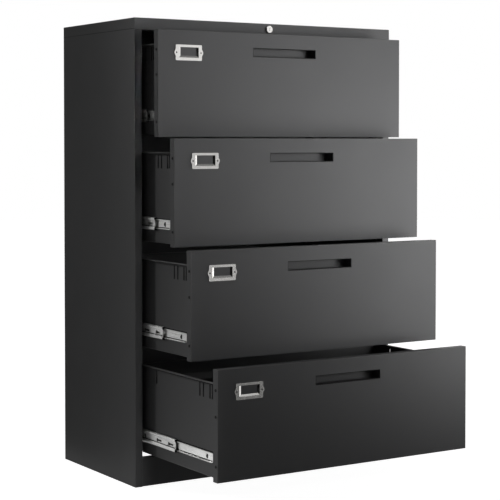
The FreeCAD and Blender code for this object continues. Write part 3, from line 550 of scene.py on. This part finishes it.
def slide_section(drawer):
    """Half heights and sides of a drawer's middle and inner slide members, seen along the slide."""
    middle_low, middle_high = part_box(f"slide_middle_{drawer}")
    inner_low, inner_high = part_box(f"slide_inner_{drawer}")
    return {
        "front": middle_low.y,
        "centre": (middle_low.z + middle_high.z) / 2,
        "middle_half": (middle_high.z - middle_low.z) / 2,
        "inner_half": (inner_high.z - inner_low.z) / 2,
        "middle_back": middle_low.x,
        "inner_edge": inner_low.x,
        "drawer_face": inner_low.x + bpy.context.scene.cabinet_fittings.inner_depth,
        "middle_ends": (middle_low.y, middle_high.y),
        "inner_ends": (inner_low.y, inner_high.y),
    }


def front_screw_places(drawer, fasteners):
    """Spots and turns of the screws in the two returns of a drawer's front."""
    low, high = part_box(f"drawer_front_{drawer}")
    heights = (high.z - fasteners.top_drop, high.z - fasteners.middle_drop, low.z + fasteners.bottom_rise)
    places = []
    for side in (-1, 1):
        across = side * (high.x + fasteners.head_height * HEAD_OUT)
        for height in heights:
            spot = (across, low.y + fasteners.setback, height)
            places.append((spot, (0, side * math.pi / 2, 0)))
    return places


def card_screw_height(fasteners):
    """Height of a card frame's screw, which fills its ear's hole up to the recess."""
    low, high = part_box("label_holder_1")
    return (high - low).y - fasteners.card_recess


def card_screw_places(drawer, fasteners):
    """Spots and turns of the screws in the two ears of a card frame."""
    low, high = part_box(f"label_holder_{drawer}")
    middle = (low + high) / 2
    depth = high.y - card_screw_height(fasteners) / 2
    turn = (math.pi / 2, 0, 0)
    return [((middle.x + side * fasteners.card_pitch / 2, depth, middle.z), turn) for side in (-1, 1)]


def slide_screw_places(drawer, fasteners):
    """Spots and turns of the screws at the ends of a drawer's inner slide members."""
    low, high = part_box(f"slide_inner_{drawer}")
    seat = -slide_section(drawer)["drawer_face"] + fasteners.slide_height / 2
    places = []
    for side in (-1, 1):
        for along in (low.y + fasteners.slide_setback, high.y - fasteners.slide_setback):
            spot = (side * seat, along, (low.z + high.z) / 2)
            places.append((spot, (0, side * math.pi / 2, 0)))
    return places


def model_stop(section, settings):
    """A nylon stop in the front end of a middle member, drawn with that end's middle at Y and Z zero.

    The upper left quarter is drawn and mirrored: a block over the inner member, a head that covers the
    member's end and a web behind the inner member.
    """
    sheet = settings.member_sheet
    back = section["middle_back"]
    roof = section["middle_half"] - sheet
    floor = section["inner_half"] + settings.stop_clear
    web_far = section["inner_edge"] - settings.stop_clear
    web_near = web_far - sheet / 2
    stop = new_block((back + sheet, 0.0, floor), (web_far + sheet * 2, settings.stop_length, roof))
    start_edit(stop)
    choose(stop, "FACE", lambda face: face.normal.y < -FACING)
    extrude((0, -settings.stop_head, 0))
    choose(stop, "FACE", lambda face: face.normal.x < -FACING and face.calc_center_median().y < 0)
    extrude((-sheet, 0, 0))
    choose(stop, "FACE", lambda face: face.normal.z > FACING and face.calc_center_median().y < 0)
    extrude((0, 0, sheet))
    for side in (web_near, web_far):
        choose(stop, "FACE", lambda face: face.normal.z < -FACING and face.calc_center_median().y > 0)
        bpy.ops.mesh.bisect(plane_co=(side, 0, 0), plane_no=(1, 0, 0))
    choose(stop, "FACE", lambda face: face.normal.z < -FACING and face.calc_center_median().y > 0
           and web_near < face.calc_center_median().x < web_far)
    extrude((0, 0, -floor))
    choose(stop, "FACE", lambda face: face.normal.z < -FACING
           and all(abs(point.co.z) < NEAR for point in face.verts))
    bpy.ops.mesh.delete(type="FACE")
    end_edit()
    mirror_piece(stop, (True, False, True))
    bevel = stop.modifiers.new("bevel", "BEVEL")
    bevel.width = sheet / 6
    bevel.segments = 2
    bpy.ops.object.modifier_apply(modifier=bevel.name)
    smooth(stop, 40)
    return stop


def model_shade_strip(low, high, width):
    """A strip round the inside of an opening that faces the front, from the opening's corners; its dark
    finish stands in for the shade at the opening's edge.
    """
    strip = new_block(low, high)
    start_edit(strip)
    choose(strip, "FACE", lambda face: abs(face.normal.y) > FACING)
    bpy.ops.mesh.inset(thickness=width)
    bpy.ops.mesh.bridge_edge_loops()
    choose(strip, "EDGE", lambda edge: all(point.co.y < low[1] + NEAR for point in edge.verts)
           and edge.calc_face_angle(0.0) > SHARP)
    bpy.ops.mesh.bevel(offset=width / 5, segments=2, profile=0.5)
    end_edit()
    smooth(strip, 40)
    return strip


def model_shade_seal(low, high, round_off):
    """Two dark beads with rounded edges, one on each side of the cabinet, standing in for the shade in
    the cap's open seams.
    """
    seal = new_block(low, high)
    start_edit(seal)
    bpy.ops.mesh.select_all(action="SELECT")
    bpy.ops.mesh.bevel(offset=round_off, segments=2, profile=0.5)
    end_edit()
    mirror_piece(seal, (True, False, False))
    smooth(seal, 40)
    return seal


def model_shade_liner(face, ends, height, settings):
    """Two dark strips along a slide member or a drawer side's lip, one on each side, with rounded edges
    and tapered ends, standing in for the shade there.
    """
    half, rise, margin = settings.shade_liner_height / 2, settings.shade_liner_rise, settings.member_sheet * 2
    liner = new_block((face - rise, ends[0] + margin, height - half),
                      (face, ends[1] - margin, height + half))
    start_edit(liner)
    choose(liner, "EDGE", lambda edge: all(point.co.x < face - rise + NEAR for point in edge.verts))
    bpy.ops.mesh.bevel(offset=rise * 0.4, segments=2, profile=0.5)
    end_edit()
    mirror_piece(liner, (True, False, False))
    smooth(liner, 40)
    return liner


# Operators

class CABINET_OT_coat_steel(bpy.types.Operator):
    """Coat the carcass and the drawers with black powder coat"""
    bl_idname = "cabinet.coat_steel"
    bl_label = "Coat the folded steel"

    def execute(self, context):
        coat = context.scene.cabinet_coat
        material = coat_material("black_powder_coat", (coat.colour, coat.thin_colour), coat.roughness,
                                 coat.roughness_spread, (coat.peel_pitch, coat.cloud_pitch),
                                 coat.peel_depth, coat.sheen)
        # Folds and bevels get a lighter colour: a painted highlight.
        highlight_folds(material.node_tree, coat.fold_highlight_colour,
                      material.node_tree.nodes["Principled BSDF"])
        finish_nodes("black_paint", material)
        return {"FINISHED"}


class CABINET_OT_plate_slides(bpy.types.Operator):
    """Plate the slides and the cam with zinc, and phosphate the ball cages"""
    bl_idname = "cabinet.plate_slides"
    bl_label = "Plate the slides"

    def execute(self, context):
        plate = context.scene.cabinet_plate
        scales = {"Across Scale": 1.0 / plate.line_pitch, "Along Scale": ROLLED_SCALE,
                  "Stain Scale": STAIN_SCALE}
        zinc = metal_material("bright_zinc", (plate.zinc, plate.zinc_stain), plate.roughness,
                              plate.roughness_spread, scales, plate.line_depth)
        finish_nodes("zinc_slide", zinc)
        cage = coat_material("phosphated_steel", (plate.cage, plate.cage_stain), roughness=0.6,
                             spread=0.1, pitches=(0.0006, 0.008), depth=0.00001, level=0.2)
        finish_nodes("cage_steel", cage)
        return {"FINISHED"}


class CABINET_OT_plate_trim(bpy.types.Operator):
    """Plate the card frames and the lock with bright nickel"""
    bl_idname = "cabinet.plate_trim"
    bl_label = "Plate the card frames and lock"

    def execute(self, context):
        trim = context.scene.cabinet_trim
        smudges = 1.0 / trim.smudge_pitch
        scales = {"Across Scale": smudges, "Along Scale": smudges, "Stain Scale": smudges / 2}
        nickel = metal_material("bright_nickel", (trim.nickel, trim.nickel_stain), trim.roughness,
                                trim.roughness_spread, scales, trim.smudge_depth)
        finish_nodes("bright_nickel", nickel)
        return {"FINISHED"}


class CABINET_OT_add_screws(bpy.types.Operator):
    """Put screws in the drawer fronts' returns, the card frames' ears and the inner slide members"""
    bl_idname = "cabinet.add_screws"
    bl_label = "Add the drawers' screws"

    def execute(self, context):
        fasteners = context.scene.cabinet_fasteners
        oxide = coat_material("black_oxide", (fasteners.oxide, fasteners.oxide_worn), roughness=0.5,
                              spread=0.08, pitches=(0.0004, 0.002), depth=0.000005, level=0.1)
        kinds = (
            ("front", model_screw(fasteners.head_radius, fasteners.head_height), front_screw_places),
            ("card", model_screw(fasteners.card_radius, card_screw_height(fasteners)), card_screw_places),
            ("slide", model_screw(fasteners.slide_radius, fasteners.slide_height), slide_screw_places),
        )
        for drawer in DRAWERS:
            for kind, pattern, find_places in kinds:
                screws = spread_copies(pattern, find_places(drawer, fasteners), f"{kind}_screws_{drawer}")
                settle(screws, oxide, f"drawer_{drawer}")
        for _, pattern, _ in kinds:
            bpy.data.objects.remove(pattern)
        return {"FINISHED"}


class CABINET_OT_add_stops(bpy.types.Operator):
    """Put nylon stops in the front ends of the middle slide members"""
    bl_idname = "cabinet.add_stops"
    bl_label = "Add the slide stops"

    def execute(self, context):
        fittings = context.scene.cabinet_fittings
        # The same black material also darkens the strips, rims and beads that stand in for shade (painted
        # shade).
        nylon = coat_material("black_nylon", (fittings.nylon, fittings.nylon_worn), roughness=0.6,
                              spread=0.06, pitches=(0.0005, 0.004), depth=0.00001, level=0.08)
        pattern = model_stop(slide_section(DRAWERS[0]), fittings)
        for drawer in DRAWERS:
            section = slide_section(drawer)
            spot = (0, section["front"], section["centre"])
            stop = spread_copies(pattern, [(spot, (0, 0, 0))], f"slide_stops_{drawer}")
            settle(stop, nylon, f"middle_{drawer}")
        bpy.data.objects.remove(pattern)
        return {"FINISHED"}


class CABINET_OT_add_pull_shade_strips(bpy.types.Operator):
    """Line the edges of the finger pulls with dark nylon strips that stand in for the shade at the
    recesses' edges
    """
    bl_idname = "cabinet.add_edge_strips"
    bl_label = "Add the finger pulls' edge strips"

    def execute(self, context):
        fittings = context.scene.cabinet_fittings
        nylon = bpy.data.materials["black_nylon"]
        for drawer in DRAWERS:
            low, high = (Vector(corner) for corner in OPENING[f"finger_pull_{drawer}"])
            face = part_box(f"drawer_front_{drawer}")[0].y
            fit = fittings.pull_shade_fit
            strip = model_shade_strip((low.x - fit, face + fit, low.z - fit),
                                     (high.x + fit, face + fittings.pull_shade_depth, high.z + fit),
                                     fittings.pull_shade_width)
            strip.name = f"pull_edges_{drawer}"
            settle(strip, nylon, f"drawer_{drawer}")
        return {"FINISHED"}


class CABINET_OT_add_slot_shade_guards(bpy.types.Operator):
    """Put dark nylon rims round the rail slots of the drawer sides, standing in for the shade in the
    slots
    """
    bl_idname = "cabinet.add_slot_guards"
    bl_label = "Add the rail slots' guards"

    def execute(self, context):
        fittings = context.scene.cabinet_fittings
        nylon = bpy.data.materials["black_nylon"]
        half_width = SLOT_WIDTH / 2 + fittings.shade_guard_rim
        half_height = (SLOT_TOP - SLOT_BOTTOM) / 2 + fittings.shade_guard_rim
        pattern = model_shade_strip((-half_width, -fittings.shade_guard_rise, -half_height),
                                   (half_width, 0.0, half_height), fittings.shade_guard_rim)
        for drawer in DRAWERS:
            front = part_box(f"drawer_front_{drawer}")[0]
            face = -slide_section(drawer)["drawer_face"]
            places = []
            for side in (-1, 1):
                for middle in SLOT_MIDDLES:
                    spot = (side * face, front.y + middle, front.z + (SLOT_BOTTOM + SLOT_TOP) / 2)
                    places.append((spot, (0, 0, side * math.pi / 2)))
            guards = spread_copies(pattern, places, f"slot_guards_{drawer}")
            settle(guards, nylon, f"drawer_{drawer}")
        bpy.data.objects.remove(pattern)
        return {"FINISHED"}


class CABINET_OT_add_cap_shade_seals(bpy.types.Operator):
    """Lay black beads in the open seams under the cap's skirts, standing in for the shade in the seams"""
    bl_idname = "cabinet.add_cap_seals"
    bl_label = "Add the cap's seals"

    def execute(self, context):
        fittings = context.scene.cabinet_fittings
        low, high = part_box("side_panel_right")
        inset = CAP_SHEET + fittings.shade_seal_sink
        side_seal = ((high.x - CAP_SHEET, low.y + inset * 2, SIDE_SEAM),
                     (high.x - fittings.shade_seal_sink, high.y - inset * 2, SIDE_SEAM + SEAM_HEIGHT))
        front_seal = ((low.x + inset, low.y + fittings.shade_seal_sink, FRONT_SEAM),
                      (high.x - inset * 2, low.y + CAP_SHEET, FRONT_SEAM + SEAM_HEIGHT))
        for name, (near, far) in (("side", side_seal), ("front", front_seal)):
            shade_seals = model_shade_seal(near, far, fittings.shade_seal_sink / 4)
            shade_seals.name = f"cap_{name}_seals"
            settle(shade_seals, bpy.data.materials["black_nylon"], "cabinet")
        return {"FINISHED"}


class CABINET_OT_add_shade_liners(bpy.types.Operator):
    """Lay dark nylon strips along the lower races of the slide members, on the drawer sides above the
    inner members and along the drawer sides' lips, standing in for the shade there
    """
    bl_idname = "cabinet.add_liners"
    bl_label = "Add the liners"

    def execute(self, context):
        fittings = context.scene.cabinet_fittings
        nylon = bpy.data.materials["black_nylon"]
        for drawer in DRAWERS:
            section = slide_section(drawer)
            low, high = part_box(f"drawer_side_left_{drawer}")
            lip_ends = (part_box(f"drawer_front_{drawer}")[1].y, high.y)
            kinds = (("middle", f"middle_{drawer}", section["middle_back"] + fittings.middle_recess,
                      section["middle_ends"], section["centre"] - fittings.middle_shade_liner),
                     ("inner", f"drawer_{drawer}", section["drawer_face"] - fittings.member_sheet,
                      section["inner_ends"], section["centre"] - fittings.inner_shade_liner),
                     ("edge", f"drawer_{drawer}", section["drawer_face"], section["inner_ends"],
                      section["centre"] + section["inner_half"] + fittings.shade_liner_height / 2),
                     ("lip", f"drawer_{drawer}", low.x, lip_ends, high.z - fittings.lip_shade_liner))
            for kind, body, face, ends, height in kinds:
                liner = model_shade_liner(face, ends, height, fittings)
                liner.name = f"{kind}_liners_{drawer}"
                settle(liner, nylon, body)
        return {"FINISHED"}


class CABINET_OT_add_balls(bpy.types.Operator):
    """Put steel balls in the windows of the ball cages"""
    bl_idname = "cabinet.add_balls"
    bl_label = "Add the slides' balls"

    def execute(self, context):
        fittings, plate = context.scene.cabinet_fittings, context.scene.cabinet_plate
        scales = {"Across Scale": BALL_SCALE, "Along Scale": BALL_SCALE, "Stain Scale": BALL_STAIN_SCALE}
        steel = metal_material("ball_steel", (plate.ball, plate.zinc_stain), roughness=0.14, spread=0.05,
                               scales=scales, depth=0.000002)
        kinds = (("outer", fittings.outer_ball, fittings.outer_inset),
                 ("inner", fittings.inner_ball, fittings.inner_inset))
        for kind, radius, inset in kinds:
            pattern = model_ball(radius)
            for drawer in DRAWERS:
                low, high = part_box(f"ball_cage_{kind}_{drawer}")
                places = []
                for across in (low.x + inset, high.x - inset):
                    for along in CAGE_WINDOWS:
                        for height in (low.z + CAGE_HALF, high.z - CAGE_HALF):
                            spot = (across, low.y + (high.y - low.y) * along, height)
                            places.append((spot, (0, 0, 0)))
                balls = spread_copies(pattern, places, f"{kind}_balls_{drawer}")
                settle(balls, steel, f"{kind}_cage_{drawer}")
            bpy.data.objects.remove(pattern)
        return {"FINISHED"}


# Studio

# Lamps: their places, the points that they face, and their widths and heights. The studio's settings of
# the same names hold their powers and, where a grid narrows the light, their spreads.
LAMPS = {
    "key": ((1.44, -1.13, 0.62), (1.01, -0.4, 0.77), (1.56, 0.97)),
    "front": ((1.01, -2.46, 1.41), (0.17, -0.4, 1.49), (1.08, 1.08)),
    "side": ((-2.2, 2.0, 1.6), (-0.42, -1.2, 0.45), (0.5, 3.2)),
    "edge": ((-0.47, -3.2, 0.75), (-0.47, 0.0, 0.7), (0.03, 1.7)),
    "rear": ((2.2, 3.0, 1.8), (0.2, 0.2, 0.7), (2.0, 2.0)),
    "top": ((-0.3, 0.6, 3.4), (0.0, 0.0, 1.3), (2.0, 2.0)),
}
# Cards, flags and cloths that only reflections show: two corners and the grey of each
CARDS = {
    "left_card": ((-2.42, -0.4, 0.0), (-2.4, 7.0, 3.2), 0.36),
    "left_floor_card": ((-2.4, 0.1, 0.005), (-0.52, 4.0, 0.01), 0.40),
    "left_flag": ((-2.42, -3.2, 0.0), (-2.4, -0.6, 3.2), 0.0),
    "left_cloth": ((-3.2, -5.4, 0.01), (-0.5, -1.2, 0.02), 0.25),
    "front_cloth": ((-0.5, -5.4, 0.01), (0.35, -1.3, 0.02), 0.0),
    "far_cloth": ((0.35, -5.4, 0.01), (1.2, -3.7, 0.02), 0.0),
    "front_flag": ((-4.0, -5.52, 0.0), (1.2, -5.5, 2.2), 0.0),
    "upper_flag": ((-4.0, -5.52, 2.2), (6.0, -5.5, 6.0), 0.2),
    "floor_card": ((0.35, -3.6, 0.01), (1.4, -1.6, 0.02), 0.17),
    "far_card": ((1.6, -9.0, 0.01), (6.0, -4.6, 0.02), 0.40),
    "horizon_card": ((2.0, -9.02, 0.0), (8.0, -9.0, 1.3), 0.60),
    "ceiling_card": ((0.6, -2.2, 4.0), (2.9, 0.0, 4.02), 0.25),
    "lock_card": ((1.75, -2.86, 1.55), (2.3, -2.85, 2.0), 2.4),
    "low_card": ((1.7, -1.3, 0.02), (1.72, 0.1, 0.32), 2.0),
}


def seen_directly(tree):
    """A value of 1 for camera, glossy and transmission rays, and 0 for the others."""
    path = tree.nodes.new("ShaderNodeLightPath")
    result = path.outputs["Is Camera Ray"]
    for ray in ("Is Glossy Ray", "Is Transmission Ray"):
        widest = add_node(tree, "ShaderNodeMath", operation="MAXIMUM")
        tree.links.new(result, widest.inputs[0])
        tree.links.new(path.outputs[ray], widest.inputs[1])
        result = widest.outputs[0]
    return result


def add_softbox(name, spot, target, size, watts, spread):
    """An area light at a spot, turned to a target; a spread below half a turn narrows it like a grid."""
    light = bpy.data.lights.new(name, "AREA")
    light.spread = spread
    light.shape = "RECTANGLE"
    light.size, light.size_y = size
    light.energy = watts
    lamp = bpy.data.objects.new(name, light)
    lamp.location = spot
    lamp.rotation_euler = (Vector(target) - Vector(spot)).to_track_quat("-Z", "Y").to_euler()
    lamp.visible_camera = False
    bpy.context.scene.collection.objects.link(lamp)


def add_card(name, low, high, grey):
    """A card of one grey that only reflections show."""
    material, _, shader = new_material(name)
    shader.inputs["Base Color"].default_value = (0.0, 0.0, 0.0, 1.0)
    shader.inputs["Specular IOR Level"].default_value = 0.0
    shader.inputs["Emission Color"].default_value = (grey, grey, grey, 1.0)
    shader.inputs["Emission Strength"].default_value = 1.0
    card = new_block(low, high)
    card.name = name
    card.data.materials.append(material)
    card.visible_camera = False
    card.visible_diffuse = False
    card.visible_shadow = False


class CABINET_OT_add_stage(bpy.types.Operator):
    """Lay the floor, hang the lights and set the camera"""
    bl_idname = "cabinet.add_stage"
    bl_label = "Set the stage"

    def execute(self, context):
        studio = context.scene.cabinet_studio
        self.lay_floor(studio)
        self.fill_room(context.scene, studio)
        for name, (low, high, grey) in CARDS.items():
            add_card(name, low, high, grey)
        for name, (spot, target, size) in LAMPS.items():
            add_softbox(name, spot, target, size, getattr(studio, name),
                        getattr(studio, f"{name}_spread", math.pi))
        bpy.data.objects["front"].visible_glossy = False
        self.set_camera(context.scene, studio)
        return {"FINISHED"}

    def lay_floor(self, studio):
        clear_selection()
        bpy.ops.mesh.primitive_circle_add(vertices=64, radius=14.0, fill_type="NGON", location=(0, 0, 0))
        floor = bpy.context.object
        floor.name = "floor"
        material, tree, shader = new_material("pale_floor")
        shader.inputs["Base Color"].default_value = (*studio.floor, 1.0)
        shader.inputs["Roughness"].default_value = 0.9
        shader.inputs["Specular IOR Level"].default_value = 0.0
        shader.inputs["Emission Color"].default_value = (1.0, 1.0, 1.0, 1.0)
        where = tree.nodes.new("ShaderNodeTexCoord")
        away = add_node(tree, "ShaderNodeVectorMath", operation="LENGTH")
        tree.links.new(where.outputs["Object"], away.inputs[0])
        rise = add_node(tree, "ShaderNodeMapRange", interpolation_type="SMOOTHSTEP")
        rise.inputs["From Min"].default_value = studio.floor_clear / 3
        rise.inputs["From Max"].default_value = studio.floor_clear
        rise.inputs["To Min"].default_value = studio.floor_lift
        tree.links.new(away.outputs["Value"], rise.inputs["Value"])
        lift = add_node(tree, "ShaderNodeMath", operation="MULTIPLY")
        tree.links.new(seen_directly(tree), lift.inputs[0])
        tree.links.new(rise.outputs["Result"], lift.inputs[1])
        tree.links.new(lift.outputs[0], shader.inputs["Emission Strength"])
        floor.data.materials.append(material)

    def fill_room(self, scene, studio):
        world = bpy.data.worlds.new("room")
        world.use_nodes = True
        tree = world.node_tree
        background = tree.nodes["Background"]
        background.inputs["Color"].default_value = (1.0, 1.0, 1.0, 1.0)
        strength = tree.nodes.new("ShaderNodeMapRange")
        strength.inputs["To Min"].default_value = studio.room_fill
        tree.links.new(seen_directly(tree), strength.inputs["Value"])
        tree.links.new(strength.outputs["Result"], background.inputs["Strength"])
        scene.world = world

    def set_camera(self, scene, studio):
        lens = bpy.data.cameras.new("camera")
        lens.lens = studio.lens
        lens.shift_y = studio.camera_shift
        camera = bpy.data.objects.new("camera", lens)
        camera.location = studio.camera_place
        camera.rotation_euler = studio.camera_turn
        scene.collection.objects.link(camera)
        scene.camera = camera
        scene.view_settings.view_transform = "Standard"


# Panel and registration

class CABINET_PT_dress(bpy.types.Panel):
    """Steps that dress the cabinet"""
    bl_idname = "CABINET_PT_dress"
    bl_label = "Cabinet"
    bl_space_type = "VIEW_3D"
    bl_region_type = "UI"
    bl_category = "Cabinet"

    def draw(self, context):
        for step in STEPS:
            self.layout.operator(step.bl_idname)


SETTINGS = {
    "cabinet_coat": CoatSettings,
    "cabinet_plate": PlateSettings,
    "cabinet_trim": TrimSettings,
    "cabinet_fasteners": FastenerSettings,
    "cabinet_fittings": FittingSettings,
    "cabinet_studio": StudioSettings,
}
STEPS = (
    CABINET_OT_coat_steel,
    CABINET_OT_plate_slides,
    CABINET_OT_plate_trim,
    CABINET_OT_add_screws,
    CABINET_OT_add_stops,
    CABINET_OT_add_pull_shade_strips,
    CABINET_OT_add_slot_shade_guards,
    CABINET_OT_add_cap_shade_seals,
    CABINET_OT_add_shade_liners,
    CABINET_OT_add_balls,
    CABINET_OT_add_stage,
)


def register():
    for kind in (*SETTINGS.values(), *STEPS, CABINET_PT_dress):
        bpy.utils.register_class(kind)
    for name, kind in SETTINGS.items():
        setattr(bpy.types.Scene, name, PointerProperty(type=kind))


def unregister():
    for name in SETTINGS:
        delattr(bpy.types.Scene, name)
    for kind in (CABINET_PT_dress, *reversed(STEPS), *reversed(SETTINGS.values())):
        bpy.utils.unregister_class(kind)


def main():
    register()
    for step in STEPS:
        family, name = step.bl_idname.split(".")
        getattr(getattr(bpy.ops, family), name)()


if __name__ == "__main__":
    main()
